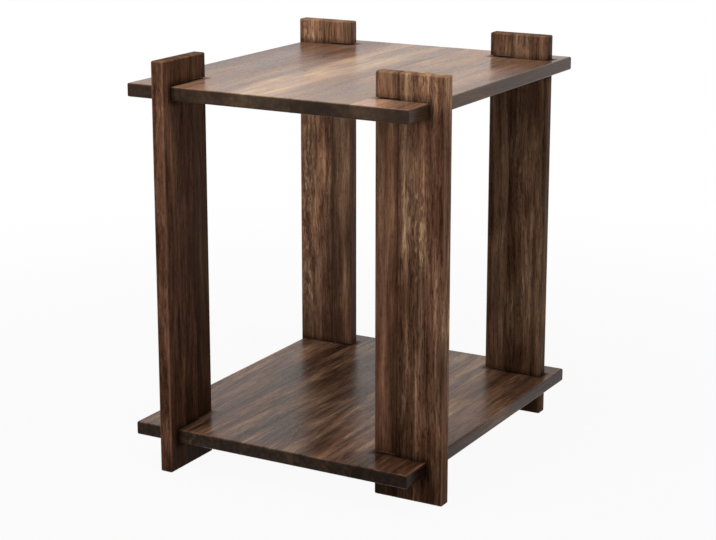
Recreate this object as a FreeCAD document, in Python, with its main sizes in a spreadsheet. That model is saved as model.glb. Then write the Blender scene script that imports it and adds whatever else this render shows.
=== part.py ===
import FreeCAD, Part

import os

import Sketcher

# An end table that slots together. Two equal edge-glued panels, the shelf and the table top, lie in
# the notches of four flat legs that stand on edge. Each leg is a full-height stave with three shorter
# pieces glued along its inner edge: a foot, a strip and a cap. The panels lie between those pieces.
# Lengths are in millimetres. X runs to the right and Y to the back. The origin is on the floor, under
# the middle of the table's bounding box.

sizes = (
    # name, value, what it is
    ("table_height", 610, "floor to the top of the legs"),
    ("leg_rise", 38, "legs above the table top"),
    ("foot_height", 42, "floor to the underside of the shelf"),
    ("board_width", 91, "one board of a panel"),
    ("board_count", 5, "boards glued side by side in a panel"),
    ("panel_depth", 545, "length of the boards, front to back"),
    ("panel_thickness", 20, "table top and shelf"),
    ("leg_thickness", 20, "all legs"),
    ("front_leg_width", 108, "both front legs"),
    ("back_leg_width", 97, "both back legs"),
    ("lap_width", 36, "part of a leg's width that a panel reaches into"),
    ("left_leg_inset", 55, "left edge of the panels to the front left leg"),
    ("left_leg_overhang", 18, "front left leg past the front edge"),
    ("right_leg_inset", 59, "front edge of the panels to the front right leg"),
    ("right_leg_overhang", 25, "front right leg past the right edge"),
    ("back_setback", 40, "back edge of the panels to the back legs"),
    ("back_left_overhang", 4, "back left leg past the left edge"),
    ("mortise_web", 15, "wood between the back right leg and the right edge"),
    ("edge_radius", 2.5, "eased edges of panels and legs"),
    ("slot_clearance", 1.2, "between a leg's faces and the sides of its slot"),
    ("lap_gap", 2, "between a panel and the leg piece above it"),
    ("dowel_diameter", 8, "hidden dowels and pins"),
    ("dowel_length", 40, "half in the leg and half in the panel"),
    ("dowel_end_gap", 1, "free bore at each end of a dowel"),
    ("dowel_chamfer", 1, "at both ends of a dowel or pin"),
    ("glue_film", 0.05, "around a dowel or pin in its bore"),
    ("pin_bite", 12, "how deep a pin goes into the back right leg"),
)

doc = FreeCAD.newDocument("end_table")
sheet = doc.addObject("Spreadsheet::Sheet", "sizes")
for row, (alias, value, note) in enumerate(sizes, start=1):
    sheet.set(f"A{row}", alias)
    sheet.set(f"B{row}", str(value))
    sheet.setAlias(f"B{row}", alias)
    sheet.set(f"C{row}", note)
doc.recompute()

# Lengths that follow from the sizes, as expressions.
thickness = "sizes.panel_thickness"
panel_width = "(sizes.board_count * sizes.board_width)"
shelf_level = "sizes.foot_height"
top_level = f"(sizes.table_height - sizes.leg_rise - {thickness})"
half_leg = "sizes.leg_thickness / 2"
front_stave = "(sizes.front_leg_width - sizes.lap_width)"
back_stave = "(sizes.back_leg_width - sizes.lap_width)"
slot_width = "(sizes.leg_thickness + 2 * sizes.slot_clearance)"
bore_radius = "(sizes.dowel_diameter / 2 + sizes.glue_film)"
bore_length = "(sizes.dowel_length + 2 * sizes.dowel_end_gap)"
pin_length = "(sizes.back_setback + sizes.pin_bite)"

# The front left corner of the panels, with the table's bounding box centred on the origin.
panel_x = f"(-({panel_width} + sizes.right_leg_overhang - sizes.back_left_overhang) / 2)"
panel_y = "(-(sizes.panel_depth - sizes.left_leg_overhang) / 2)"

# Where the legs stand, measured from that corner. Each slot runs in from an edge of the panel to the
# inner side of the leg's full-height stave, and the back right stave goes through a closed mortise.
left_slot_end = f"({front_stave} - sizes.left_leg_overhang)"
right_slot_start = f"({panel_width} + sizes.right_leg_overhang - {front_stave})"
back_slot_end = f"({back_stave} - sizes.back_left_overhang)"
mortise_end = f"({panel_width} - sizes.mortise_web)"
mortise_start = f"({mortise_end} - {back_stave})"
left_leg_middle = f"(sizes.left_leg_inset + {half_leg})"
right_leg_middle = f"(sizes.right_leg_inset + {half_leg})"
back_leg_middle = f"(sizes.panel_depth - sizes.back_setback - {half_leg})"

along_x = FreeCAD.Rotation(FreeCAD.Vector(0, 1, 0), 90)
along_y = FreeCAD.Rotation(FreeCAD.Vector(1, 0, 0), -90)
quarter_turn = FreeCAD.Rotation(FreeCAD.Vector(0, 0, 1), 90)
half_turn = FreeCAD.Rotation(FreeCAD.Vector(0, 0, 1), 180)


def place(item, x="0", y="0", z="0", rotation=None):
    # Turns an object and ties its position to expressions.
    if rotation:
        item.Placement = FreeCAD.Placement(FreeCAD.Vector(), rotation)
    for axis, expression in (("x", x), ("y", y), ("z", z)):
        item.setExpression(f"Placement.Base.{axis}", expression)
    return item


def add_box(name, length, width, height):
    item = doc.addObject("Part::Box", name)
    item.setExpression("Length", length)
    item.setExpression("Width", width)
    item.setExpression("Height", height)
    return item


def add_bore(name, length, x, y, z, rotation):
    item = doc.addObject("Part::Cylinder", name)
    item.setExpression("Radius", bore_radius)
    item.setExpression("Height", length)
    return place(item, x, y, z, rotation)


def combine(kind, name, base, tool):
    item = doc.addObject(f"Part::{kind}", name)
    item.Base = base
    item.Tool = tool
    return item


def fuse(name, items):
    item = doc.addObject("Part::MultiFuse", name)
    item.Shapes = items
    return item


def floor_sketch(body, name):
    # A sketch on the body's own horizontal plane.
    sketch = body.newObject("Sketcher::SketchObject", name)
    plane = next(item for item in body.Origin.OriginFeatures if item.Role == "XY_Plane")
    sketch.AttachmentSupport = [(plane, "")]
    sketch.MapMode = "FlatFace"
    return sketch


def tie(sketch, name, kind, expression, *ends):
    # A named dimension of a sketch. The 10 is only where the solver starts from.
    number = sketch.addConstraint(Sketcher.Constraint(kind, *ends, 10))
    sketch.renameConstraint(number, name)
    sketch.setExpression(f"Constraints.{name}", expression)


def add_rectangle(sketch, name, length, width, x=None, y=None, centred=False):
    # Without x or y the near left corner lies on that axis. The X axis halves a centred rectangle.
    corners = [FreeCAD.Vector(*corner, 0) for corner in ((10, 10), (20, 10), (20, 20), (10, 20))]
    near, right, far, left = [
        sketch.addGeometry(Part.LineSegment(corners[side], corners[(side + 1) % 4]))
        for side in range(4)
    ]
    for line, following in ((near, right), (right, far), (far, left), (left, near)):
        sketch.addConstraint(Sketcher.Constraint("Coincident", line, 2, following, 1))
    for direction, line in (("Horizontal", near), ("Horizontal", far), ("Vertical", left)):
        sketch.addConstraint(Sketcher.Constraint(direction, line))
    tie(sketch, f"{name}_length", "DistanceX", length, near, 1, near, 2)
    tie(sketch, f"{name}_width", "DistanceY", width, right, 1, right, 2)
    if x is None:
        sketch.addConstraint(Sketcher.Constraint("PointOnObject", near, 1, -2))
    else:
        tie(sketch, f"{name}_x", "DistanceX", x, -1, 1, near, 1)
    if centred:
        sketch.addConstraint(Sketcher.Constraint("Symmetric", right, 1, right, 2, -1))
        return
    sketch.addConstraint(Sketcher.Constraint("Vertical", right))
    if y is None:
        sketch.addConstraint(Sketcher.Constraint("PointOnObject", near, 1, -1))
    else:
        tie(sketch, f"{name}_y", "DistanceY", y, -1, 1, near, 1)


def rounded_plank(name, length, width, height, centred=False):
    # A plank with every edge eased.
    body = doc.addObject("PartDesign::Body", name)
    outline = floor_sketch(body, f"{name}_outline")
    add_rectangle(outline, "plank", length, width, centred=centred)
    pad = body.newObject("PartDesign::Pad", f"{name}_pad")
    pad.Profile = outline
    pad.setExpression("Length", height)
    doc.recompute()
    rounding = body.newObject("PartDesign::Fillet", f"{name}_rounding")
    rounding.Base = (pad, [f"Edge{number + 1}" for number in range(len(pad.Shape.Edges))])
    rounding.setExpression("Radius", "sizes.edge_radius")
    doc.recompute()
    return body


def add_dowel(name, length):
    # A round stick with both ends chamfered.
    body = doc.addObject("PartDesign::Body", name)
    section = floor_sketch(body, f"{name}_section")
    circle = section.addGeometry(Part.Circle(FreeCAD.Vector(), FreeCAD.Vector(0, 0, 1), 10))
    section.addConstraint(Sketcher.Constraint("Coincident", circle, 3, -1, 1))
    tie(section, "diameter", "Diameter", "sizes.dowel_diameter", circle)
    pad = body.newObject("PartDesign::Pad", f"{name}_pad")
    pad.Profile = section
    pad.setExpression("Length", length)
    doc.recompute()
    rims = [
        f"Edge{number}"
        for number, edge in enumerate(pad.Shape.Edges, start=1)
        if edge.Curve.TypeId == "Part::GeomCircle"
    ]
    chamfer = body.newObject("PartDesign::Chamfer", f"{name}_chamfer")
    chamfer.Base = (pad, rims)
    chamfer.setExpression("Size", "sizes.dowel_chamfer")
    return body


def stick_start(x, y, direction, length):
    # Where a stick begins whose middle is at x, y.
    if direction is along_x:
        return f"{x} - {length} / 2", y
    return x, f"{y} - {length} / 2"


nodes = {}

# The panel: an eased plank with three open slots and a closed mortise for the legs.
panel = rounded_plank("panel", panel_width, "sizes.panel_depth", thickness)
slots = floor_sketch(panel, "leg_slots")
left_slot_x = f"{left_leg_middle} - {slot_width} / 2"
right_slot_y = f"{right_leg_middle} - {slot_width} / 2"
back_slot_y = f"{back_leg_middle} - {slot_width} / 2"
right_slot_length = f"{panel_width} - {right_slot_start}"
mortise_length = f"{back_stave} + sizes.slot_clearance"
add_rectangle(slots, "front_left", slot_width, left_slot_end, x=left_slot_x)
add_rectangle(slots, "front_right", right_slot_length, slot_width, right_slot_start, right_slot_y)
add_rectangle(slots, "back_left", back_slot_end, slot_width, y=back_slot_y)
add_rectangle(slots, "back_right", mortise_length, slot_width, mortise_start, back_slot_y)
doc.recompute()
plank_volume = panel.Shape.Volume
slotting = panel.newObject("PartDesign::Pocket", "slotting")
slotting.Profile = slots
slotting.Type = "ThroughAll"
slotting.Reversed = True
doc.recompute()
if round(panel.Shape.Volume) >= round(plank_volume):
    raise RuntimeError("the slots cut nothing out of the panel")

# A dowel crosses the inner side of each stave that stands in an open slot: middle of the joint and
# direction of the dowel. A pin from the back edge holds the stave in the mortise.
dowel_joints = {
    "front_left": (left_leg_middle, left_slot_end, along_y),
    "front_right": (right_slot_start, right_leg_middle, along_x),
    "back_left": (back_slot_end, back_leg_middle, along_x),
}
pin_x = f"({mortise_start} + {back_stave} / 2)"
pin_y = f"(sizes.panel_depth - {pin_length})"
half_thickness = f"{thickness} / 2"

panel_bores = [add_bore("pin_panel_bore", pin_length, pin_x, pin_y, half_thickness, along_y)]
for leg, (joint_x, joint_y, direction) in dowel_joints.items():
    bore_x, bore_y = stick_start(joint_x, joint_y, direction, bore_length)
    bore_name = f"{leg}_panel_bore"
    panel_bores.append(add_bore(bore_name, bore_length, bore_x, bore_y, half_thickness, direction))
bored_panel = combine("Cut", "bored_panel", panel, fuse("panel_bores", panel_bores))

# The boards: the panel is parted along its glue lines, once for the shelf and once for the top.
levels = (("shelf", shelf_level), ("top", top_level))
for number in range(int(sheet.board_count)):
    side = add_box(f"board_{number + 1}_part", "sizes.board_width", "sizes.panel_depth", thickness)
    place(side, f"{number} * sizes.board_width")
    for level_name, level in levels:
        board_name = f"{level_name}_board_{number + 1}"
        board = combine("Common", board_name, bored_panel, side)
        nodes[board_name] = place(board, panel_x, panel_y, level)

# The legs. In a leg's own frame X runs from the outer side of its width to the inner side, and the
# middle of its thickness is at Y 0. x and y give the middle of its outer side from the panels' corner.
legs = {
    "front_left": {
        "width": "sizes.front_leg_width",
        "stave": front_stave,
        "x": left_leg_middle,
        "y": "-sizes.left_leg_overhang",
        "turn": quarter_turn,
    },
    "front_right": {
        "width": "sizes.front_leg_width",
        "stave": front_stave,
        "x": f"{panel_width} + sizes.right_leg_overhang",
        "y": right_leg_middle,
        "turn": half_turn,
    },
    "back_right": {
        "width": "sizes.back_leg_width",
        "stave": back_stave,
        "x": mortise_end,
        "y": back_leg_middle,
        "turn": half_turn,
    },
    "back_left": {
        "width": "sizes.back_leg_width",
        "stave": back_stave,
        "x": "-sizes.back_left_overhang",
        "y": back_leg_middle,
        "turn": None,
    },
}

# Start and height of each piece that is glued to a stave's inner side. The shelf rests on the feet and
# the top on the strips, and each has a small gap above it.
strip_start = f"({shelf_level} + {thickness} + sizes.lap_gap)"
cap_start = f"({top_level} + {thickness} + sizes.lap_gap)"
inner_pieces = {
    "foot": ("0", shelf_level),
    "strip": (strip_start, f"{top_level} - {strip_start}"),
    "cap": (cap_start, f"sizes.table_height - {cap_start}"),
}


def bored_plank(leg):
    # The whole leg before it is parted, with its bores for the dowels or pins.
    plan = legs[leg]
    size = (plan["width"], "sizes.leg_thickness", "sizes.table_height")
    plank = rounded_plank(f"{leg}_plank", *size, centred=True)
    bores = []
    for level_name, level in levels:
        bore_name = f"{leg}_{level_name}_bore"
        bore_z = f"{level} + {half_thickness}"
        if leg in dowel_joints:
            bore_x = f"{plan['stave']} - {bore_length} / 2"
            bores.append(add_bore(bore_name, bore_length, bore_x, "0", bore_z, along_x))
        else:
            start = (f"{plan['stave']} / 2", f"-{half_leg}", bore_z)
            bores.append(add_bore(bore_name, "sizes.pin_bite", *start, along_y))
    return combine("Cut", f"{leg}_bored", plank, fuse(f"{leg}_bores", bores))


for leg, plan in legs.items():
    plank = bored_plank(leg)
    parts = {"stave": ("0", plan["stave"], "0", "sizes.table_height")}
    for piece, (start, height) in inner_pieces.items():
        parts[piece] = (plan["stave"], "sizes.lap_width", start, height)
    corner = (f"{panel_x} + {plan['x']}", f"{panel_y} + {plan['y']}")
    for piece, (start_x, width, start_z, height) in parts.items():
        region = add_box(f"{leg}_{piece}_part", width, "sizes.leg_thickness", height)
        place(region, start_x, f"-{half_leg}", start_z)
        piece_name = f"{leg}_leg_{piece}"
        item = combine("Common", piece_name, plank, region)
        nodes[piece_name] = place(item, *corner, rotation=plan["turn"])

# The dowels and the pins.
dowels = []
pins = []
for level_name, level in levels:
    stick_z = f"{level} + {half_thickness}"
    for leg, (joint_x, joint_y, direction) in dowel_joints.items():
        start_x, start_y = stick_start(joint_x, joint_y, direction, "sizes.dowel_length")
        dowel = add_dowel(f"{leg}_{level_name}_dowel", "sizes.dowel_length")
        start = (f"{panel_x} + {start_x}", f"{panel_y} + {start_y}", stick_z)
        dowels.append(place(dowel, *start, direction))
    pin = add_dowel(f"{level_name}_pin", pin_length)
    pins.append(place(pin, f"{panel_x} + {pin_x}", f"{panel_y} + {pin_y}", stick_z, along_y))
for group_name, sticks in (("joint_dowels", dowels), ("mortise_pins", pins)):
    nodes[group_name] = doc.addObject("Part::Compound", group_name)
    nodes[group_name].Links = sticks

doc.recompute()
for item in doc.Objects:
    if "Invalid" in item.State or "Error" in item.State:
        raise RuntimeError(f"{item.Name} could not be computed")
for node, item in nodes.items():
    item.Label = node
    if item.Shape.isNull() or not item.Shape.isValid():
        raise RuntimeError(f"{node} has no valid shape")

os.makedirs("parts", exist_ok=True)
for node, item in nodes.items():
    item.Shape.exportStep(f"parts/{node}.step")
print(len(nodes), "nodes,", sum(len(item.Shape.Solids) for item in nodes.values()), "solids")
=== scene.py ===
import math

import bmesh
import bpy
from mathutils import Euler, Matrix, Vector


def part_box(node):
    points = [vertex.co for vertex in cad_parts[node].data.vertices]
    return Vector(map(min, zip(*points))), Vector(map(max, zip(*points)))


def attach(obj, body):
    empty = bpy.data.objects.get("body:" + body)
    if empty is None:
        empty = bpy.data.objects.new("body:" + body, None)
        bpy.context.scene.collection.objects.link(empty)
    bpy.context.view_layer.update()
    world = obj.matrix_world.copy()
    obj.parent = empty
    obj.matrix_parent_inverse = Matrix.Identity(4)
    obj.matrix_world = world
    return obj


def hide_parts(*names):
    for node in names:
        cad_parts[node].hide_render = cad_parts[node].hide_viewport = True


# An end table with a shelf. Every plank is built round the box of its own node in the frame, and gets
# a stained wood of its own, so that the boards and staves differ as real ones do.
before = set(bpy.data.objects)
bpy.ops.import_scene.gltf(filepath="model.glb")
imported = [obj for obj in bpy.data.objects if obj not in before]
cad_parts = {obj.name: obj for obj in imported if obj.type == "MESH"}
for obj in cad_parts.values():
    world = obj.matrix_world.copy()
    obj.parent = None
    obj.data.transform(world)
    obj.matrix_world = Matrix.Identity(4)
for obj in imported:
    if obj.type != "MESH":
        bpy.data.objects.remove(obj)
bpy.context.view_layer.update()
mm = 0.001
body = "root"
farAway = 10000.0  # mm, for what a plank hasn't got


def linear(hexColour):
    # sRGB hex to the linear colour that nodes work in.
    channels = [int(hexColour[start:start + 2], 16) / 255 for start in (1, 3, 5)]
    return [c / 12.92 if c <= 0.04045 else ((c + 0.055) / 1.055) ** 2.4 for c in channels] + [1]


def addNode(tree, kind, links=None, out=0, stops=(), **settings):
    # Adds a node with its settings, its input values or links and its ramp stops, and gives an output.
    node = tree.nodes.new(kind)
    for setting, value in settings.items():
        setattr(node, setting, value)
    for socket, value in (links or {}).items():
        if isinstance(value, bpy.types.NodeSocket):
            tree.links.new(value, node.inputs[socket])
        else:
            node.inputs[socket].default_value = value
    for number, (position, colour) in enumerate(stops):
        elements = node.color_ramp.elements
        element = elements[number] if number < 2 else elements.new(position)
        element.position = position
        element.color = colour
    return node.outputs[out] if node.outputs else node


def newGroup(name, kind, inputs, outputs):
    # An empty node group with named sockets: its tree and its inputs.
    tree = bpy.data.node_groups.new(name, kind)
    for direction, sockets in (("INPUT", inputs), ("OUTPUT", outputs)):
        for socketName, socketType in sockets.items():
            tree.interface.new_socket(socketName, in_out=direction, socket_type=f"NodeSocket{socketType}")
    return tree, tree.nodes.new("NodeGroupInput").outputs


def emptyTree(owner):
    # The node tree of a material or a world, with nothing in it.
    owner.use_nodes = True
    owner.node_tree.nodes.clear()
    return owner.node_tree


def addObject(name, data):
    made = bpy.data.objects.new(name, data)
    bpy.context.scene.collection.objects.link(made)
    return made


def grainNoise(tree, seed, place, across, along, detail=1, out="Fac"):
    # Noise stretched along the grain, whose marks are some mm across and along it.
    spot = addNode(tree, "ShaderNodeVectorMath",
                   {0: place, 1: (1 / across, 1 / across, 1 / along), 2: seed}, operation="MULTIPLY_ADD")
    return addNode(tree, "ShaderNodeTexNoise", {"Vector": spot, "Scale": 1, "Detail": detail}, out=out)


# Grain flow: from a place in a plank, in mm with X across the width, Y through the thickness and Z along
# the grain, to where it would lie with the fibres' wavering taken off, and how far that is from the pith.
grainFlow = {
    "wavers": {  # mm across and along the grain, and a number of mm for how far the fibres shift
        "broad": (70, 260, 22), "fine": (9, 30, 3.5), "curly": (8, 17, 13),
    },
    "patches": {  # mm across and along, the noise between which a patch comes in, and its least share
        "curl": (60, 120, 0.36, 0.56, 0.25),
        "flake": (5.2, 15, 0.48, 0.64, -0.25),
    },
    "riftSlope": 0.35,  # streaks lean this much through the thickness
    "knotLength": 3.2,  # a knot disturbs the grain this many times further along it than across
    "knotBend": 16.0,  # mm
}


def grainFlowGroup():
    tree, given = newGroup("grainFlow", "ShaderNodeTree", {
        "Plank": "Vector", "Width": "Float", "Seed": "Float",
        "Fine": "Float",  # the share of the fine wavering
        "Pith": "Vector",  # mm across and deep, and how deep it drifts per mm
        "Curl": "Vector",  # middle and reach as shares of the width, and strength
        "Knot": "Vector",  # mm across and along, and its radius
    }, {"Flow": "Vector", "Ring": "Float", "Share": "Float", "Flake": "Float", "Knot": "Float"})
    pith, curl, knot, place = (addNode(tree, "ShaderNodeSeparateXYZ", {0: given[name]}).node.outputs
                               for name in ("Pith", "Curl", "Knot", "Plank"))

    def patchesAt(name, place, ease):
        across, along, begins, full, least = grainFlow["patches"][name]
        noise = grainNoise(tree, given["Seed"], place, across, along)
        return addNode(tree, "ShaderNodeMapRange", {0: noise, 1: begins, 2: full, 3: least, 4: 1},
                       interpolation_type=ease)

    # Where the grain is curly: round the middle of the curl, and more in some patches than in others.
    apart = addNode(tree, "ShaderNodeMath", {0: place["X"], 1: given["Width"]}, operation="DIVIDE")
    apart = addNode(tree, "ShaderNodeMath", {0: apart, 1: curl["X"]}, operation="SUBTRACT")
    apart = addNode(tree, "ShaderNodeMath", {0: apart}, operation="ABSOLUTE")
    near = addNode(tree, "ShaderNodeMapRange", {0: apart, 1: curl["Y"], 2: 0, 3: 0, 4: curl["Z"]},
                   interpolation_type="SMOOTHSTEP")
    patches = patchesAt("curl", given["Plank"], "LINEAR")
    curly = addNode(tree, "ShaderNodeMath", {0: near, 1: patches}, operation="MULTIPLY")

    # The wavering. Its fine part grows with the plank's fine figure, and its curly part where it is curly.
    moved = given["Plank"]
    for name, (across, along, reach) in grainFlow["wavers"].items():
        shift = grainNoise(tree, given["Seed"], given["Plank"], across, along, out="Color")
        shift = addNode(tree, "ShaderNodeVectorMath", {0: shift, 1: (reach,) * 3, 2: (-reach / 2,) * 3},
                        operation="MULTIPLY_ADD")
        if name != "broad":
            strength = {"fine": given["Fine"], "curly": curly}[name]
            shift = addNode(tree, "ShaderNodeVectorMath", {0: shift, "Scale": strength}, operation="SCALE")
        moved = addNode(tree, "ShaderNodeVectorMath", {0: moved, 1: shift}, operation="ADD")
    movedTo = addNode(tree, "ShaderNodeSeparateXYZ", {0: moved}).node.outputs

    # A knot: the rings bend round it.
    knotAcross = addNode(tree, "ShaderNodeMath", {0: movedTo["X"], 1: knot["X"]}, operation="SUBTRACT")
    knotAlong = addNode(tree, "ShaderNodeMath", {0: movedTo["Z"], 1: knot["Y"]}, operation="SUBTRACT")
    knotAlong = addNode(tree, "ShaderNodeMath", {0: knotAlong, 1: grainFlow["knotLength"]},
                        operation="DIVIDE")
    knotAway = addNode(tree, "ShaderNodeCombineXYZ", {0: knotAcross, 1: knotAlong})
    knotAway = addNode(tree, "ShaderNodeVectorMath", {0: knotAway}, out="Value", operation="LENGTH")
    knotted = addNode(tree, "ShaderNodeMapRange", {0: knotAway, 1: knot["Z"], 2: 0, 3: 0, 4: 1},
                      interpolation_type="SMOOTHSTEP")

    # The rings lie round the pith, which drifts along the plank.
    drift = addNode(tree, "ShaderNodeMath", {0: movedTo["Z"], 1: pith["Z"], 2: pith["Y"]},
                    operation="MULTIPLY_ADD")
    pithPlace = addNode(tree, "ShaderNodeCombineXYZ", {0: pith["X"], 1: drift, 2: movedTo["Z"]})
    ring = addNode(tree, "ShaderNodeVectorMath", {0: moved, 1: pithPlace}, out="Value",
                   operation="DISTANCE")
    ring = addNode(tree, "ShaderNodeMath", {0: knotted, 1: grainFlow["knotBend"], 2: ring},
                   operation="MULTIPLY_ADD")
    leaning = addNode(tree, "ShaderNodeMath",
                      {0: movedTo["Y"], 1: grainFlow["riftSlope"], 2: movedTo["X"]},
                      operation="MULTIPLY_ADD")
    share = addNode(tree, "ShaderNodeMath", {0: leaning, 1: given["Width"]}, operation="DIVIDE")

    # Short pale flakes where curly fibres come to the surface, with darker wood between them.
    flake = patchesAt("flake", moved, "SMOOTHSTEP")
    flake = addNode(tree, "ShaderNodeMath", {0: flake, 1: curly}, operation="MULTIPLY")
    addNode(tree, "NodeGroupOutput",
            {"Flow": moved, "Ring": ring, "Share": share, "Flake": flake, "Knot": knotted})
    return tree


# Stained hardwood, such as acacia, sanded and lacquered satin: the open pores drink the stain, so they
# show as dark dashes, the growth rings as darker and lighter bands, and the end grain is darkest.
stainedWood = {
    "palette": (
        (0.00, "#110804"), (0.25, "#342014"), (0.45, "#543c2e"), (0.60, "#6e5343"),
        (0.75, "#8e705b"), (0.88, "#ae8f74"), (1.00, "#cfb08d"),
    ),
    "olive": "#f3f3ea",  # multiplied over the stain where the wood is greener
    "redder": "#ffe9dc",  # and where it is redder
    "reds": (18, 230, 0.3, 0.7, 0.4),  # mm across and along, the noise between which it swings, and how far
    "bands": (600, 4, 0.6, 0.8),  # growth bands: mm along, detail and roughness, and how much they tell
    "patterns": {  # mm across and along the grain, detail, and how much it tells in the tone
        "streaks": (6.5, 95, 2, 0.75),
        "fibres": (1.7, 38, 2, 0.50),  # twice the real width, so that they show
        "clouds": (38, 130, 1, 0.5),
    },
    "marks": {  # mm across and along, the noise between which a mark comes in, and how much it tells
        "pores": (1.1, 9, 0.57, 0.67, -0.18),  # three times the real width, so that they show
        "veins": (1.5, 50, 0.56, 0.66, -0.15),
    },
    "flakeTells": 0.19, "knotTells": -0.16,
    "turned": (0.35, 0.95),  # cosines between which a face becomes an end or a side
    # Rubbed arrises are lighter: partly real wear through the stain, partly a painted highlight of the eased
    # edges.
    "rubbedAndHighlit": "#94735a",
    "rubbingAndHighlight": (3.0, 0.6),  # mm from an arris, and the most of the rubbed and highlit colour
    "rubbingAndHighlightPatch": (0.40, 0.62, 0.1),  # the noise between which it comes in, and its least share
    "seamWidth": 2.8,  # mm to each side of a glue line
    # Painted contact shade with some dirt, round the pieces that a plank meets:
    "contactShadeAndDirt": (11.0, 1.3),  # mm from a piece that this one meets, and how steeply it falls off
    # How much rougher each makes the lacquer.
    "dulling": {"fibres": 0.10, "clouds": 0.20, "pores": 0.12, "ends": 0.25, "contactShadeAndDirt": 0.5},
    "poreDepth": 0.7,  # as a share of the fibres' relief
    "relief": 0.15 * mm, "lacquer": "#fff0e2", "ior": 1.5,
}


def stainedWoodGroup():
    tree, given = newGroup("stainedWood", "ShaderNodeTree", {
        "Plank": "Vector", "Flow": "Vector", "Ring": "Float", "Flake": "Float", "Knot": "Float",
        # The tone, its change per mm along the plank, and its changes towards the two ends: the places
        # along the grain, in mm, between which each comes in, and how much it tells.
        "Tone": "Float", "Rise": "Float", "Foot": "Vector", "Head": "Vector",
        "End": "Float", "Side": "Float",  # how squarely a face looks along the grain, and the width
        # Bands in mm across the grain, the share of the finest figure, and a factor for it on end grain.
        "Seed": "Float", "Contrast": "Float", "Bands": "Float", "Fine": "Float", "End Contrast": "Float",
        # Shades are factors. The side ones are partly stain and partly painted shade, and painted light
        # where above 1; the sides' second one is for where the foot's change is full.
        "End Shade": "Float", "Side Shade": "Float", "Foot Side Shade": "Float", "Contact Shade And Dirt": "Float",
        "Red": "Float", "Roughness": "Float",
        "Seams": "Vector",  # mm across to the glued sides, and how dark a seam is
        # Boxes, in mm: the one with rubbed, highlit edges, and two of met pieces, round which shade is
        # painted.
        "Rubbed And Highlit Middle": "Vector", "Rubbed And Highlit Half": "Vector", "First Middle": "Vector", "First Half": "Vector",
        "Second Middle": "Vector", "Second Half": "Vector",
    }, {"Color": "Color", "Roughness": "Float", "Height": "Float"})
    flow, place = (addNode(tree, "ShaderNodeSeparateXYZ", {0: given[name]}).node.outputs
                   for name in ("Flow", "Plank"))

    # How far a face is an end or a side. End grain is seen fibre by fibre, so its fine figure tells more or
    # less than a face's.
    begins, full = stainedWood["turned"]
    turned = {}
    for way in ("End", "Side"):
        turned[way] = addNode(tree, "ShaderNodeMapRange", {0: given[way], 1: begins, 2: full, 3: 0, 4: 1},
                              interpolation_type="SMOOTHSTEP")
    fine = addNode(tree, "ShaderNodeMapRange",
                   {0: turned["End"], 1: 0, 2: 1, 3: 1, 4: given["End Contrast"]})
    for factor in (given["Contrast"], given["Fine"]):
        fine = addNode(tree, "ShaderNodeMath", {0: fine, 1: factor}, operation="MULTIPLY")

    # The tone, from black stain to pale streak, along the plank and towards its ends. On the legs and some
    # boards the changes along the plank and towards its ends are painted light and shade.
    tone = addNode(tree, "ShaderNodeMath", {0: place["Z"], 1: given["Rise"], 2: given["Tone"]},
                   operation="MULTIPLY_ADD")
    nearEnd = {}
    for end in ("Foot", "Head"):
        change = addNode(tree, "ShaderNodeSeparateXYZ", {0: given[end]}).node.outputs
        nearEnd[end] = addNode(tree, "ShaderNodeMapRange",
                               {0: place["Z"], 1: change["X"], 2: change["Y"], 3: 0, 4: 1})
        tone = addNode(tree, "ShaderNodeMath", {0: nearEnd[end], 1: change["Z"], 2: tone},
                       operation="MULTIPLY_ADD")

    # Growth bands run with the rings and change slowly along the grain.
    bandAlong, bandDetail, bandRoughness, bandsTell = stainedWood["bands"]
    ringPlace = addNode(tree, "ShaderNodeMath", {0: given["Ring"], 1: given["Bands"]}, operation="DIVIDE")
    slow = addNode(tree, "ShaderNodeMath", {0: flow["Z"], 1: bandAlong}, operation="DIVIDE")
    bandSpot = addNode(tree, "ShaderNodeCombineXYZ", {0: ringPlace, 1: slow, 2: given["Seed"]})
    detail = addNode(tree, "ShaderNodeMath", {0: given["Fine"], 1: bandDetail}, operation="MULTIPLY")
    bands = addNode(tree, "ShaderNodeTexNoise",
                    {"Vector": bandSpot, "Scale": 1, "Detail": detail, "Roughness": bandRoughness})

    # Streaks, fibres and slow changes of tone, and the marks of pores and dark veins.
    pattern = {}
    figures = [(bands, bandsTell, given["Contrast"])]
    for name, (across, along, detail, weight) in stainedWood["patterns"].items():
        pattern[name] = grainNoise(tree, given["Seed"], given["Flow"], across, along, detail)
        figures.append((pattern[name], weight, given["Contrast"] if name == "clouds" else fine))
    for noise, weight, contrast in figures:
        weighed = addNode(tree, "ShaderNodeMath", {0: noise, 1: weight, 2: -weight / 2},
                          operation="MULTIPLY_ADD")
        tone = addNode(tree, "ShaderNodeMath", {0: weighed, 1: contrast, 2: tone}, operation="MULTIPLY_ADD")
    extras = [(given["Flake"], stainedWood["flakeTells"]), (given["Knot"], stainedWood["knotTells"])]
    for name, (across, along, begins, full, weight) in stainedWood["marks"].items():
        noise = grainNoise(tree, given["Seed"], given["Flow"], across, along)
        pattern[name] = addNode(tree, "ShaderNodeMapRange", {0: noise, 1: begins, 2: full, 3: 0, 4: 1})
        mark = addNode(tree, "ShaderNodeMath", {0: pattern[name], 1: fine}, operation="MULTIPLY")
        extras.append((mark, weight))
    for extra, weight in extras:
        tone = addNode(tree, "ShaderNodeMath", {0: extra, 1: weight, 2: tone}, operation="MULTIPLY_ADD")
    stops = [(position, linear(colour)) for position, colour in stainedWood["palette"]]
    colour = addNode(tree, "ShaderNodeValToRGB", {0: tone}, stops=stops)

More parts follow.
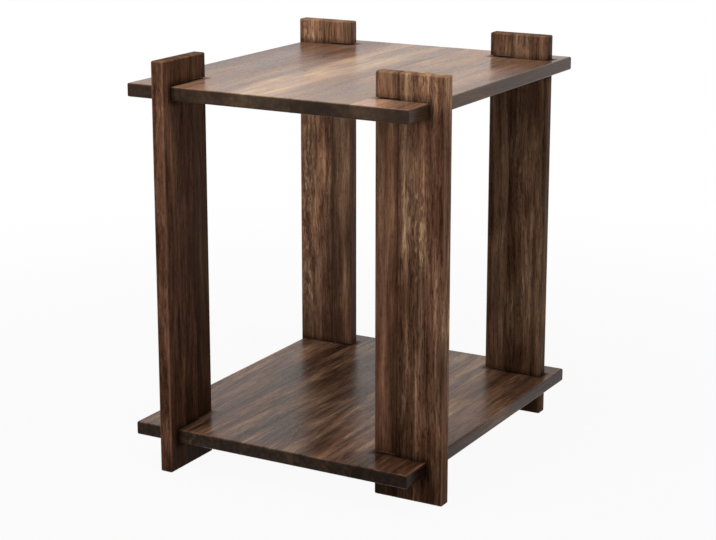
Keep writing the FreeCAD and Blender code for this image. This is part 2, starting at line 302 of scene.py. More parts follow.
    # Some places are redder than others.
    across, along, begins, full, swing = stainedWood["reds"]
    reds = grainNoise(tree, given["Seed"], given["Flow"], across, along)
    redness = addNode(tree, "ShaderNodeMapRange", {0: reds, 1: begins, 2: full, 3: -swing, 4: swing},
                      clamp=False)
    redness = addNode(tree, "ShaderNodeMath", {0: redness, 1: given["Red"]}, operation="ADD")
    redness = addNode(tree, "ShaderNodeMath", {0: redness, 1: given["Knot"]}, operation="ADD",
                      use_clamp=True)
    tint = addNode(tree, "ShaderNodeMix",
                   {0: redness, 6: linear(stainedWood["olive"]), 7: linear(stainedWood["redder"])},
                   out=2, data_type="RGBA")
    colour = addNode(tree, "ShaderNodeMix", {0: 1, 6: colour, 7: tint},
                     out=2, data_type="RGBA", blend_type="MULTIPLY")

    def depthIn(box):
        # How deep a place lies in a box, on each axis: below zero outside it.
        away = addNode(tree, "ShaderNodeVectorMath", {0: given["Plank"], 1: given[f"{box} Middle"]},
                       operation="SUBTRACT")
        away = addNode(tree, "ShaderNodeVectorMath", {0: away}, operation="ABSOLUTE")
        return addNode(tree, "ShaderNodeVectorMath", {0: given[f"{box} Half"], 1: away},
                       operation="SUBTRACT")

    # Rubbed arrises, in places, lighter as wear and as a painted highlight: the middle one of the depths on
    # the three axes is the distance to an edge of the plank.
    depth = addNode(tree, "ShaderNodeSeparateXYZ", {0: depthIn("Rubbed And Highlit")}).node.outputs
    low = addNode(tree, "ShaderNodeMath", {0: depth["X"], 1: depth["Y"]}, operation="MINIMUM")
    high = addNode(tree, "ShaderNodeMath", {0: depth["X"], 1: depth["Y"]}, operation="MAXIMUM")
    high = addNode(tree, "ShaderNodeMath", {0: high, 1: depth["Z"]}, operation="MINIMUM")
    edgeAway = addNode(tree, "ShaderNodeMath", {0: low, 1: high}, operation="MAXIMUM")
    rubbingAndHighlightWidth, rubbingAndHighlightMost = stainedWood["rubbingAndHighlight"]
    rubbedAndHighlit = addNode(tree, "ShaderNodeMapRange", {0: edgeAway, 1: rubbingAndHighlightWidth, 2: 0, 3: 0, 4: rubbingAndHighlightMost})
    begins, full, least = stainedWood["rubbingAndHighlightPatch"]
    patches = addNode(tree, "ShaderNodeMapRange", {0: reds, 1: begins, 2: full, 3: least, 4: 1})
    rubbedAndHighlit = addNode(tree, "ShaderNodeMath", {0: rubbedAndHighlit, 1: patches}, operation="MULTIPLY")
    colour = addNode(tree, "ShaderNodeMix", {0: rubbedAndHighlit, 6: colour, 7: linear(stainedWood["rubbedAndHighlit"])},
                     out=2, data_type="RGBA")

    # Painted contact shade, with some dirt: darker and duller where another piece meets this one.
    contactShadeAndDirtWidth, contactShadeAndDirtFall = stainedWood["contactShadeAndDirt"]
    near = []
    for box in ("First", "Second"):
        outside = addNode(tree, "ShaderNodeVectorMath", {0: depthIn(box), 1: (0, 0, 0)}, operation="MINIMUM")
        outside = addNode(tree, "ShaderNodeVectorMath", {0: outside}, out="Value", operation="LENGTH")
        close = addNode(tree, "ShaderNodeMapRange", {0: outside, 1: contactShadeAndDirtWidth, 2: 0, 3: 0, 4: 1})
        near.append(addNode(tree, "ShaderNodeMath", {0: close, 1: contactShadeAndDirtFall}, operation="POWER"))
    contactShadeAndDirt = addNode(tree, "ShaderNodeMath", {0: near[0], 1: near[1]}, operation="MAXIMUM")

    # Shades: end grain takes the most stain, glue lines are dark along the seams, the sides are partly
    # stained and partly painted shade and light, and painted contact shade with some dirt lies where
    # another piece meets this one.
    sideShade = addNode(tree, "ShaderNodeMapRange", {
        0: nearEnd["Foot"], 1: 0, 2: 1, 3: given["Side Shade"], 4: given["Foot Side Shade"],
    })
    shades = []
    for share, full in ((turned["End"], given["End Shade"]), (turned["Side"], sideShade),
                        (contactShadeAndDirt, given["Contact Shade And Dirt"])):
        shades.append(addNode(tree, "ShaderNodeMapRange", {0: share, 1: 0, 2: 1, 3: 1, 4: full}))
    seams = addNode(tree, "ShaderNodeSeparateXYZ", {0: given["Seams"]}).node.outputs
    for side in ("X", "Y"):
        away = addNode(tree, "ShaderNodeMath", {0: place["X"], 1: seams[side]}, operation="SUBTRACT")
        away = addNode(tree, "ShaderNodeMath", {0: away}, operation="ABSOLUTE")
        shades.append(addNode(tree, "ShaderNodeMapRange",
                              {0: away, 1: 0, 2: stainedWood["seamWidth"], 3: seams["Z"], 4: 1}))
    for shade in shades:
        colour = addNode(tree, "ShaderNodeMix", {0: 1, 6: colour, 7: shade},
                         out=2, data_type="RGBA", blend_type="MULTIPLY")

    # Sheen: duller at pores, on end grain and in the painted contact shade and dirt, a little uneven all
    # over.
    roughness = given["Roughness"]
    pattern.update({"ends": turned["End"], "contactShadeAndDirt": contactShadeAndDirt})
    for name, weight in stainedWood["dulling"].items():
        roughness = addNode(tree, "ShaderNodeMath", {0: pattern[name], 1: weight, 2: roughness},
                            operation="MULTIPLY_ADD")
    height = addNode(tree, "ShaderNodeMath",
                     {0: pattern["pores"], 1: -stainedWood["poreDepth"], 2: pattern["fibres"]},
                     operation="MULTIPLY_ADD")
    addNode(tree, "NodeGroupOutput", {"Color": colour, "Roughness": roughness, "Height": height})
    return tree


# How a plank lies: the turn that brings its grain to Z and its width to X, and its grain's own direction.
lies = {
    "acrossTable": (Euler((0, 0, 0)), Vector((0, 0, 1))),  # a leg whose width runs side to side
    "alongTable": (Euler((0, 0, -math.pi / 2)), Vector((0, 0, 1))),  # a leg whose width runs front to back
    "flat": (Euler((math.pi / 2, 0, 0)), Vector((0, 1, 0))),  # a board of the top or the shelf
}
nowhere = (Vector((farAway,) * 3), Vector((farAway,) * 3))  # the box of a piece that isn't there


def boxRound(points):
    axes = list(zip(*points))
    return Vector([min(values) for values in axes]), Vector([max(values) for values in axes])


def turnedBox(lie, box, corner=Vector()):
    # A box of the table, in mm, as it lies about a plank that is turned with its grain to Z.
    turn = lies[lie][0].to_matrix()
    return boxRound([turn @ point / mm + corner for point in box])


def woodMaterial(name, own, lie, look, seams, met):
    # One plank's wood. own is its box, look what a maker would pick a board by, seams its glued sides, and
    # met the boxes of the pieces that it meets. Along the grain, places stay the table's own.
    turn, grain = lies[lie]
    unplaced = turnedBox(lie, own)[0]
    corner = Vector((-unplaced.x, -unplaced.y, 0))
    start, end = turnedBox(lie, own, corner)
    width = end.x
    rubbedAndHighlit = (start - Vector((farAway * ("low" in seams), 0, 0)),
            end + Vector((farAway * ("high" in seams), 0, 0)))
    boxes = [rubbedAndHighlit, *(turnedBox(lie, box, corner) for box in met), nowhere, nowhere]
    material = bpy.data.materials.new(name)
    tree = emptyTree(material)
    coordinates = addNode(tree, "ShaderNodeTexCoord").node.outputs
    plank = addNode(tree, "ShaderNodeMapping",
                    {0: coordinates["Object"], 1: corner, 2: turn, 3: (1 / mm,) * 3})
    flow = addNode(tree, "ShaderNodeGroup", {
        "Plank": plank, "Width": width, "Seed": look["seed"], "Fine": look["fine"], "Pith": look["pith"],
        "Curl": look["curl"], "Knot": look["knot"],
    }, node_tree=grainFlowTree).node.outputs
    stops = [(position, (tone, tone, tone, 1)) for position, tone in look["tones"]]
    tone = addNode(tree, "ShaderNodeValToRGB", {0: flow["Share"]}, stops=stops)
    tone.node.color_ramp.interpolation = "EASE"
    sockets = {
        "Plank": plank, "Tone": tone, "Seed": look["seed"], "Contrast": look["contrast"],
        "Bands": look["bands"], "Fine": look["fine"], "End Contrast": look["endContrast"],
        "Red": look["red"], "Rise": look["rise"] * mm, "Foot": look["foot"], "Head": look["head"],
        "End Shade": look["endShade"], "Side Shade": look["sideShade"],
        "Foot Side Shade": look["sideShade"] * look["footSides"], "Contact Shade And Dirt": look["contactShadeAndDirtShade"],
        "Roughness": look["roughness"],
        "Seams": (0 if "low" in seams else farAway, width if "high" in seams else farAway,
                  look["seamShade"]),
    }
    for socket in ("Flow", "Ring", "Flake", "Knot"):
        sockets[socket] = flow[socket]
    widthwise = turn.to_matrix().transposed() @ Vector((1, 0, 0))
    for socket, direction in {"End": grain, "Side": widthwise}.items():
        looking = addNode(tree, "ShaderNodeVectorMath", {0: coordinates["Normal"], 1: direction},
                          out="Value", operation="DOT_PRODUCT")
        sockets[socket] = addNode(tree, "ShaderNodeMath", {0: looking}, operation="ABSOLUTE")
    for box, (low, high) in zip(("Rubbed And Highlit", "First", "Second"), boxes):
        sockets[f"{box} Middle"] = (low + high) / 2
        sockets[f"{box} Half"] = (high - low) / 2
    wood = addNode(tree, "ShaderNodeGroup", sockets, node_tree=stainedWoodTree).node.outputs
    bump = addNode(tree, "ShaderNodeBump", {
        "Height": wood["Height"], "Strength": look["bump"], "Distance": stainedWood["relief"],
    })
    shader = addNode(tree, "ShaderNodeBsdfPrincipled", {
        "Base Color": wood["Color"], "Roughness": wood["Roughness"], "Normal": bump,
        "IOR": stainedWood["ior"], "Specular IOR Level": look["gloss"],
        "Specular Tint": linear(stainedWood["lacquer"]),
    })
    addNode(tree, "ShaderNodeOutputMaterial", {"Surface": shader})
    return material


# A plank's mesh.
widestEasing = 2.5 * mm
easingSegments = 4
squareEdge = 1  # radian: an outer edge with a greater turn is eased
bore = {  # a peg has to go in by leastDepth to be bored for, and overrun is added to the bore's length
    "diameter": 8.1 * mm, "segments": 24, "leastDepth": 0.4 * mm, "overrun": 0.4 * mm,
}


def easedPlank(name, low, high, easing, notches=()):
    # A plank between two corners, with notches right through it, each a low and a high corner in plan.
    # easing gives the radius that each side brings to its edges, and the smaller of two sides' holds.
    bm = bmesh.new()
    weightLayer = bm.edges.layers.float.new("bevel_weight_edge")
    lines = [sorted({low[axis], high[axis], *(corner[axis] for notch in notches for corner in notch)})
             for axis in (0, 1)]
    columns, rows = len(lines[0]) - 1, len(lines[1]) - 1

    def solid(column, row):
        if not (0 <= column < columns and 0 <= row < rows):
            return False
        x = (lines[0][column] + lines[0][column + 1]) / 2
        y = (lines[1][row] + lines[1][row + 1]) / 2
        return not any(a[0] < x < b[0] and a[1] < y < b[1] for a, b in notches)

    grid = {}
    sideOf = {}

    def addFace(corners, side):
        for column, row, level in corners:
            if (column, row, level) not in grid:
                point = (lines[0][column], lines[1][row], (low.z, high.z)[level])
                grid[column, row, level] = bm.verts.new(point)
        sideOf[bm.faces.new([grid[corner] for corner in corners])] = side

    for column in range(columns):
        for row in range(rows):
            if not solid(column, row):
                continue
            a, b, c, d = (column, row), (column + 1, row), (column + 1, row + 1), (column, row + 1)
            addFace([(*p, 1) for p in (a, b, c, d)], "top")
            addFace([(*p, 0) for p in (d, c, b, a)], "bottom")
            for start, end, step, side, atRim in (
                (a, b, (0, -1), "front", row == 0),
                (b, c, (1, 0), "right", column == columns - 1),
                (c, d, (0, 1), "back", row == rows - 1),
                (d, a, (-1, 0), "left", column == 0),
            ):
                if not solid(column + step[0], row + step[1]):
                    corners = [(*start, 0), (*end, 0), (*end, 1), (*start, 1)]
                    addFace(corners, side if atRim else "notch")
    bm.normal_update()
    for edge in bm.edges:
        first, second = edge.link_faces
        if edge.calc_face_angle_signed() > squareEdge:
            radius = min(easing[sideOf[first]], easing[sideOf[second]])
            edge[weightLayer] = radius / widestEasing
    mesh = bpy.data.meshes.new(name)
    bm.to_mesh(mesh)
    bm.free()
    mesh.shade_smooth()
    piece = addObject(name, mesh)
    bevel = piece.modifiers.new("easing", "BEVEL")
    bevel.limit_method = "WEIGHT"
    bevel.width = widestEasing
    bevel.segments = easingSegments
    bevel.use_clamp_overlap = False
    return piece


def boresIn(low, high):
    # The dowels and pins whose ends lie in a plank, or that cross it.
    least = bore["leastDepth"]
    return [(start, end) for start, end in pegs
            if all(min(start[axis], end[axis]) < high[axis] - least
                   and max(start[axis], end[axis]) > low[axis] + least for axis in range(3))]


def drill(piece, bores):
    # Bores the holes that the dowels and pins fit.
    bm = bmesh.new()
    radius = bore["diameter"] / 2
    for start, end in bores:
        along = end - start
        place = Matrix.Translation((start + end) / 2) @ along.to_track_quat("Z", "Y").to_matrix().to_4x4()
        bmesh.ops.create_cone(bm, cap_ends=True, segments=bore["segments"], radius1=radius, radius2=radius,
                              depth=along.length + bore["overrun"], matrix=place)
    mesh = bpy.data.meshes.new("bores")
    bm.to_mesh(mesh)
    bm.free()
    cutter = addObject("bores", mesh)
    boring = piece.modifiers.new("boring", "BOOLEAN")
    boring.operation = "DIFFERENCE"
    boring.solver = "EXACT"
    boring.object = cutter
    return cutter


def makePlainMesh(piece):
    # Turns what the modifiers make into the piece's own mesh.
    evaluated = piece.evaluated_get(bpy.context.evaluated_depsgraph_get())
    made = bpy.data.meshes.new_from_object(evaluated)
    piece.modifiers.clear()
    piece.data = made


def addPlank(node, lie, easing, look, seams, met, notches=()):
    low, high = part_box(node)
    piece = easedPlank(f"{node}.eased", low, high, easing, notches)
    bores = boresIn(low, high)
    cutter = drill(piece, bores) if bores else None
    evened = piece.modifiers.new("evened", "WEIGHTED_NORMAL")  # keeps the flat faces flat
    evened.weight = 100
    makePlainMesh(piece)
    if cutter:
        bpy.data.objects.remove(cutter)
    piece.data.materials.clear()
    piece.data.materials.append(woodMaterial(f"{node}.stained_wood", (low, high), lie, look, seams, met))
    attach(piece, body)
    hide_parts(node)


grainFlowTree = grainFlowGroup()
stainedWoodTree = stainedWoodGroup()
noCurl = (0.5, 0.3, 0.0)  # without strength
noKnot = (farAway, 0, 10)

# Legs. Each one's stave is full height. Its foot, strip and cap are sawn from one length and glued along
# the stave's inner side.
legEasing = {"arris": 2.5 * mm, "seam": 0.5 * mm}
capFrom = (545, 575)  # mm up from the floor, where the painted light's change on the caps comes in
# In a look the shades are factors, footSides one more for the sides where the foot's change is full, and
# endContrast one for the fine figure on end grain. The side ones paint light and shade on side faces.
legLook = {
    "pith": (-160, 70, 0.02), "curl": noCurl, "knot": noKnot, "contrast": 1.0, "bands": 15, "fine": 1.0,
    "endContrast": 0.4, "red": 0.5, "gloss": 0.06, "roughness": 0.42, "bump": 0.5, "endShade": 0.85,
    "sideShade": 1.0, "footSides": 1.0, "seamShade": 0.75, "contactShadeAndDirtShade": 0.34,
    "foot": (120, 0, -0.10), "head": (*capFrom, 0.0),  # mm up from the floor
}
# Painted light and shade along the legs: rise makes them lighter upwards, as the lamps fall off, and foot
# darker near the floor, in the shade of the shelf. head sets how lit the caps above the top look, and on the
# near leg's blocks paints the shade just under the top.
legs = {  # tones are at the floor, across the plank, and rise is their change per metre up
    "front_left": {
        "lie": "alongTable", "inner": "back", "peg": "dowel",
        "stave": {"seed": 11.3, "red": 0.8, "curl": (0.02, 0.14, 0.3), "contrast": 0.85, "rise": 0.26,
                  "head": (*capFrom, -0.09),
                  "tones": ((0, 0.42), (0.04, 0.49), (0.10, 0.42), (0.25, 0.36), (0.42, 0.44),
                            (0.60, 0.38), (0.80, 0.42), (1, 0.36))},
        "blocks": {"seed": 17.9, "red": 0.2, "contrast": 0.85, "fine": 0.6, "rise": 0.42,
                   "head": (*capFrom, -0.05), "tones": ((0, 0.31), (0.5, 0.36), (1, 0.29))},
    },
    "front_right": {
        "lie": "acrossTable", "inner": "left", "peg": "dowel",
        # The stave's sideShade above 1 is painted light on its narrow right face.
        "stave": {"seed": 23.7, "red": 0.65, "curl": (0.48, 0.5, 0.6), "contrast": 1.15, "fine": 0.85,
                  "rise": 0.33, "head": (*capFrom, 0.07), "seamShade": 0.5, "sideShade": 1.65,
                  "tones": ((0, 0.37), (0.06, 0.47), (0.13, 0.56), (0.20, 0.54), (0.28, 0.38),
                            (0.38, 0.60), (0.46, 0.62), (0.55, 0.50), (0.63, 0.40), (0.78, 0.52),
                            (0.92, 0.50), (1, 0.54))},
        "blocks": {"seed": 29.1, "red": 0.7, "contrast": 0.8, "fine": 0.7, "rise": 0.50,
                   "foot": (200, 0, -0.20), "head": (460, 545, -0.03), "seamShade": 0.5,
                   "tones": ((0, 0.41), (0.35, 0.47), (0.62, 0.44), (0.85, 0.35), (1, 0.30))},
    },
    "back_right": {
        "lie": "acrossTable", "inner": "left", "peg": "pin",
        "stave": {"seed": 31.9, "red": 0.25, "curl": (0.30, 0.35, 0.4), "contrast": 1.2, "fine": 0.7,
                  "rise": 0.0,
                  "tones": ((0, 0.48), (0.20, 0.60), (0.35, 0.51), (0.60, 0.57), (0.80, 0.55), (1, 0.50))},
        "blocks": {"seed": 37.3, "red": 0.25, "fine": 0.7, "rise": 0.0, "head": (*capFrom, -0.04),
                   "tones": ((0, 0.44), (0.5, 0.50), (0.85, 0.57), (1, 0.49))},
    },
    "back_left": {
        "lie": "acrossTable", "inner": "right", "peg": "dowel",
        "stave": {"seed": 41.3, "red": 0.6, "curl": (0.20, 0.36, 0.9), "contrast": 0.95, "rise": 0.55,
                  "head": (*capFrom, -0.10), "gloss": 0.12,
                  "tones": ((0, 0.53), (0.12, 0.57), (0.40, 0.56), (0.56, 0.63), (0.72, 0.50),
                            (0.90, 0.44), (1, 0.46))},
        "blocks": {"seed": 47.9, "red": 0.5, "contrast": 0.95, "fine": 0.8, "rise": 0.49,
                   "head": (*capFrom, -0.09), "gloss": 0.12,
                   "tones": ((0, 0.42), (0.30, 0.44), (0.60, 0.57), (0.85, 0.54), (1, 0.45))},
    },
}
opposite = {"left": "right", "right": "left", "front": "back", "back": "front"}
inward = {"left": Vector((-1, 0, 0)), "right": Vector((1, 0, 0)), "back": Vector((0, 1, 0))}

# Pegs hold the legs to the panels: a dowel at three legs, half in the stave and half in the panel, and at
# the fourth a pin from the panel's back edge through the closed mortise.
peg = {
    "diameter": 8 * mm, "dowelLength": 40 * mm, "pinPastMiddle": 2 * mm, "pinSunk": 0.1 * mm,
    "dowelChamfer": 1 * mm, "pinChamfer": 0.5 * mm, "flutes": 12, "fluteDepth": 0.35 * mm,
    "sidesPerFlute": 6,
}


def pegPlaces(kind):
    # Where the dowels or the pins run, from end to end.
    found = []
    for leg, plan in legs.items():
        if plan["peg"] != kind:
            continue
        low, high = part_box(f"{leg}_leg_stave")
        middle = (low + high) / 2
        for level in ("shelf", "top"):
            panelLow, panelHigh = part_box(f"{level}_board_1")
            place = Vector((middle.x, middle.y, (panelLow.z + panelHigh.z) / 2))
            if kind == "pin":
                place.y -= peg["pinPastMiddle"]
                found.append((place, Vector((place.x, panelHigh.y - peg["pinSunk"], place.z))))
            else:
                side = inward[plan["inner"]]
                reach = (high - low) / 2
                centre = place + Vector((side.x * reach.x, side.y * reach.y, 0))
                half = side * peg["dowelLength"] / 2
                found.append((centre - half, centre + half))
    return found


pegs = pegPlaces("dowel") + pegPlaces("pin")
legBoxes = {leg: boxRound([*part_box(f"{leg}_leg_stave"), *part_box(f"{leg}_leg_cap")]) for leg in legs}
panelBoxes = [boxRound([*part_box(f"{level}_board_1"), *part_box(f"{level}_board_5")])
              for level in ("shelf", "top")]

for leg, plan in legs.items():
    inner = plan["inner"]
    for part in ("stave", "foot", "strip", "cap"):
        easing = dict.fromkeys(("left", "right", "front", "back", "bottom", "top"), legEasing["arris"])
        easing[inner if part == "stave" else opposite[inner]] = legEasing["seam"]
        if part in ("foot", "strip"):
            easing["top"] = legEasing["seam"]
        if part in ("strip", "cap"):
            easing["bottom"] = legEasing["seam"]
        look = {**legLook, **plan.get(part, plan["blocks"])}
        seamIsHigh = (inner != "left") == (part == "stave")
        addPlank(f"{leg}_leg_{part}", plan["lie"], easing, look,
                 ("high",) if seamIsHigh else ("low",), panelBoxes)
print("legs done")

# Panels. Five boards each, edge-glued. The outer boards have the notches for the legs.
panels = {
    "arris": 2.5 * mm, "mouth": 0.4 * mm, "glued": 0.12 * mm, "clearance": 1.2 * mm,
    # On the sides, sideShade is partly stain and partly painted shade, and footSides paints the shade of the
    # legs on the tongues' sides, darker towards the front.
    "look": {"curl": noCurl, "knot": noKnot, "contrast": 0.75, "endContrast": 1.5, "red": 0.4,
             "gloss": 0.14, "roughness": 0.12, "bump": 0.18, "endShade": 0.16, "sideShade": 0.5,
             "footSides": 0.5, "seamShade": 0.92, "contactShadeAndDirtShade": 0.5, "rise": 0.0,
             "foot": (-60, -200, 0.0), "head": (60, 150, 0.0)},  # mm back from the middle
    "figure": {"top": {"bands": 32, "fine": 0.5}, "shelf": {"bands": 18, "fine": 0.85}},
    # The boards from left to right. Tones are at the middle of the depth, across a board, and rise is their
    # change per metre back.
    "top": (
        {"seed": 51.7, "red": 0.6, "tones": ((0, 0.55), (0.5, 0.60), (1, 0.61)), "pith": (60, 90, 0.04)},
        {"seed": 53.9, "red": 0.5, "tones": ((0, 0.63), (0.25, 0.57), (0.55, 0.70), (1, 0.82)),
         "pith": (-40, 60, 0.05), "rise": -0.12},
        {"seed": 57.1, "red": 0.15, "pith": (120, 70, 0.05), "rise": -0.22,
         "tones": ((0, 0.86), (0.35, 0.86), (0.60, 0.78), (0.75, 0.72), (1, 0.70))},
        # Boards 4 and 5 darken towards the back: painted reflection and shade of the back-right leg.
        {"seed": 59.3, "red": 0.35, "tones": ((0, 0.68), (0.5, 0.68), (1, 0.67)), "pith": (30, 80, 0.04),
         "rise": -0.15},
        {"seed": 61.7, "red": 0.5, "tones": ((0, 0.69), (0.5, 0.69), (1, 0.67)), "pith": (-50, 60, 0.05),
         "rise": -0.20, "gloss": 0.16, "sideShade": 0.85, "head": (60, 130, -0.04)},
    ),
    "shelf": (
        {"seed": 71.3, "tones": ((0, 0.60), (0.5, 0.63), (1, 0.59)), "pith": (-30, 60, 0.04),
         "contrast": 1.05},
        {"seed": 73.7, "tones": ((0, 0.58), (0.5, 0.63), (1, 0.57)), "pith": (120, 80, 0.05),
         "contrast": 1.2, "knot": (46, 75, 16)},
        {"seed": 77.9, "tones": ((0, 0.57), (0.5, 0.56), (1, 0.60)), "pith": (45, 50, 0.05),
         "contrast": 1.15, "gloss": 0.16},
        {"seed": 79.1, "red": 0.6, "tones": ((0, 0.69), (0.5, 0.73), (1, 0.68)), "pith": (-20, 70, 0.04),
         "contrast": 1.1, "bands": 15, "gloss": 0.12, "rise": 0.35, "knot": (68, -233, 14)},
        # Board 5 is paler in the middle and much darker towards both ends: painted light between the legs,
        # and painted shade at the ends, where the legs and the top shade it.
        {"seed": 83.3, "red": 0.7, "tones": ((0, 0.82), (0.5, 0.80), (1, 0.74)), "pith": (110, 60, 0.05),
         "contrast": 0.95, "bands": 15, "gloss": 0.10, "foot": (-60, -200, -0.42),
         "head": (60, 160, -0.24)},
    ),
}


def notchesOf(boardLow, boardHigh):
    # Where the staves pass through a board, with the slots' clearance. A slot runs out past the edge.
    found = []
    for leg, plan in legs.items():
        low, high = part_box(f"{leg}_leg_stave")
        gap = panels["clearance"]
        inner = plan["inner"]
        a = Vector((low.x - gap * (inner != "left"), low.y - gap * (inner != "front"), 0))
        b = Vector((high.x + gap * (inner != "right"), high.y + gap * (inner != "back"), 0))
        a = Vector((max(a.x, boardLow.x), max(a.y, boardLow.y), 0))
        b = Vector((min(b.x, boardHigh.x), min(b.y, boardHigh.y), 0))
        if a.x < b.x and a.y < b.y:
            found.append((a, b))
    return found


for level in ("shelf", "top"):
    for number, boardLook in enumerate(panels[level]):
        node = f"{level}_board_{number + 1}"
        firstBoard, lastBoard = number == 0, number == len(panels[level]) - 1
        easing = dict.fromkeys(("front", "back", "bottom", "top"), panels["arris"])
        easing["notch"] = panels["mouth"]
        easing["left"] = panels["arris"] if firstBoard else panels["glued"]
        easing["right"] = panels["arris"] if lastBoard else panels["glued"]
        seams = ("low",) * (not firstBoard) + ("high",) * (not lastBoard)
        low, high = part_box(node)
        met = [box for box in legBoxes.values() if box[0].x < high.x and low.x < box[1].x]
        look = {**panels["look"], **panels["figure"][level], **boardLook}
        addPlank(node, "flat", easing, look, seams, met, notchesOf(low, high))
print("panels done")

# Beech, turned and fluted: pale and even, with short darker ray flecks along the grain.
beech = {
    "pale": "#c9a27a", "fleck": "#9c7350", "stain": "#5a3c2a",
    "fleckSize": (0.5 * mm, 4.0 * mm), "fleckRange": (0.2, 0.38),  # the noise between which a fleck comes in
    "roughness": (0.45, 0.6),  # of the plain wood and of a fleck
    "bump": 0.4, "relief": 0.1 * mm, "ior": 1.5,
}


def beechMaterial(name, stained):
    material = bpy.data.materials.new(name)
    tree = emptyTree(material)
    place = addNode(tree, "ShaderNodeTexCoord", out="Object")
    width, length = beech["fleckSize"]
    flecks = []
    for scale in ((1 / width, 1 / length, 1 / width), (1 / length, 1 / width, 1 / width)):
        spot = addNode(tree, "ShaderNodeMapping", {0: place, 3: scale})
        flecks.append(addNode(tree, "ShaderNodeTexNoise", {"Vector": spot, "Scale": 1, "Detail": 2}))
    fleck = addNode(tree, "ShaderNodeMath", {0: flecks[0], 1: flecks[1]}, operation="MULTIPLY")
    begins, full = beech["fleckRange"]
    fleck = addNode(tree, "ShaderNodeMapRange", {0: fleck, 1: begins, 2: full, 3: 0, 4: 1})
    colour = addNode(tree, "ShaderNodeMix",
                     {0: fleck, 6: linear(beech["pale"]), 7: linear(beech["fleck"])},
                     out=2, data_type="RGBA")
    if stained:
        colour = addNode(tree, "ShaderNodeMix", {0: 1, 6: colour, 7: linear(beech["stain"])},
                         out=2, data_type="RGBA", blend_type="MULTIPLY")
    smooth, rough = beech["roughness"]
    roughness = addNode(tree, "ShaderNodeMapRange", {0: fleck, 1: 0, 2: 1, 3: smooth, 4: rough})
    bump = addNode(tree, "ShaderNodeBump",
                   {"Height": fleck, "Strength": beech["bump"], "Distance": beech["relief"]})
    shader = addNode(tree, "ShaderNodeBsdfPrincipled", {
        "Base Color": colour, "Roughness": roughness, "Normal": bump, "IOR": beech["ior"],
    })
    addNode(tree, "ShaderNodeOutputMaterial", {"Surface": shader})
    return material


def pegTree():
    # A peg at every point, along the point's own direction: a cylinder with flutes down its side, and
    # its ends drawn in for the chamfer.
    tree, given = newGroup("pegs", "GeometryNodeTree", {
        "Geometry": "Geometry", "Diameter": "Float", "Length": "Float", "Chamfer": "Float",
        "Flutes": "Int", "Flute Depth": "Float", "Sides Per Flute": "Int", "Material": "Material",
    }, {"Geometry": "Geometry"})
    tree.is_modifier = True
    radius = addNode(tree, "ShaderNodeMath", {0: given["Diameter"], 1: 2}, operation="DIVIDE")
    sides = addNode(tree, "ShaderNodeMath", {0: given["Flutes"], 1: given["Sides Per Flute"]},
                    operation="MULTIPLY")
    slices = addNode(tree, "ShaderNodeMath", {0: given["Length"], 1: given["Chamfer"]}, operation="DIVIDE")
    slices = addNode(tree, "ShaderNodeMath", {0: slices}, operation="ROUND")
    dowel = addNode(tree, "GeometryNodeMeshCylinder", {
        "Vertices": sides, "Side Segments": slices, "Radius": radius, "Depth": given["Length"],
    })
    position = addNode(tree, "GeometryNodeInputPosition")
    place = addNode(tree, "ShaderNodeSeparateXYZ", {0: position}).node.outputs
    angle = addNode(tree, "ShaderNodeMath", {0: place["Y"], 1: place["X"]}, operation="ARCTAN2")
    wave = addNode(tree, "ShaderNodeMath", {0: angle, 1: given["Flutes"]}, operation="MULTIPLY")
    wave = addNode(tree, "ShaderNodeMath", {0: wave}, operation="COSINE")
    wave = addNode(tree, "ShaderNodeMath", {0: wave, 1: 0}, operation="MAXIMUM")
    halfLength = addNode(tree, "ShaderNodeMath", {0: given["Length"], 1: 2}, operation="DIVIDE")
    endAway = addNode(tree, "ShaderNodeMath", {0: place["Z"]}, operation="ABSOLUTE")
    endAway = addNode(tree, "ShaderNodeMath", {0: halfLength, 1: endAway}, operation="SUBTRACT")
    cut = addNode(tree, "ShaderNodeMath", {0: given["Chamfer"], 1: endAway}, operation="SUBTRACT")
    cut = addNode(tree, "ShaderNodeMath", {0: cut, 1: 0}, operation="MAXIMUM")
    flute = addNode(tree, "ShaderNodeMath", {0: wave, 1: given["Flute Depth"]}, operation="MULTIPLY")
    taken = addNode(tree, "ShaderNodeMath", {0: flute, 1: cut}, operation="MAXIMUM")
    kept = addNode(tree, "ShaderNodeMath", {0: radius, 1: taken}, operation="SUBTRACT")
    kept = addNode(tree, "ShaderNodeMath", {0: kept, 1: radius}, operation="DIVIDE")
    kept = addNode(tree, "ShaderNodeCombineXYZ", {0: kept, 1: kept, 2: 1})
    shaped = addNode(tree, "ShaderNodeVectorMath", {0: position, 1: kept}, operation="MULTIPLY")
    dowel = addNode(tree, "GeometryNodeSetPosition", {"Geometry": dowel, "Position": shaped})
    direction = addNode(tree, "GeometryNodeInputNamedAttribute", {"Name": "direction"},
                        data_type="FLOAT_VECTOR")
    turned = addNode(tree, "FunctionNodeAlignRotationToVector", {"Vector": direction}, axis="Z")
    placed = addNode(tree, "GeometryNodeInstanceOnPoints",
                     {"Points": given["Geometry"], "Instance": dowel, "Rotation": turned})
    placed = addNode(tree, "GeometryNodeRealizeInstances", {"Geometry": placed})
    placed = addNode(tree, "GeometryNodeSetMaterial", {"Geometry": placed, "Material": given["Material"]})
    addNode(tree, "NodeGroupOutput", {"Geometry": placed})
    return tree


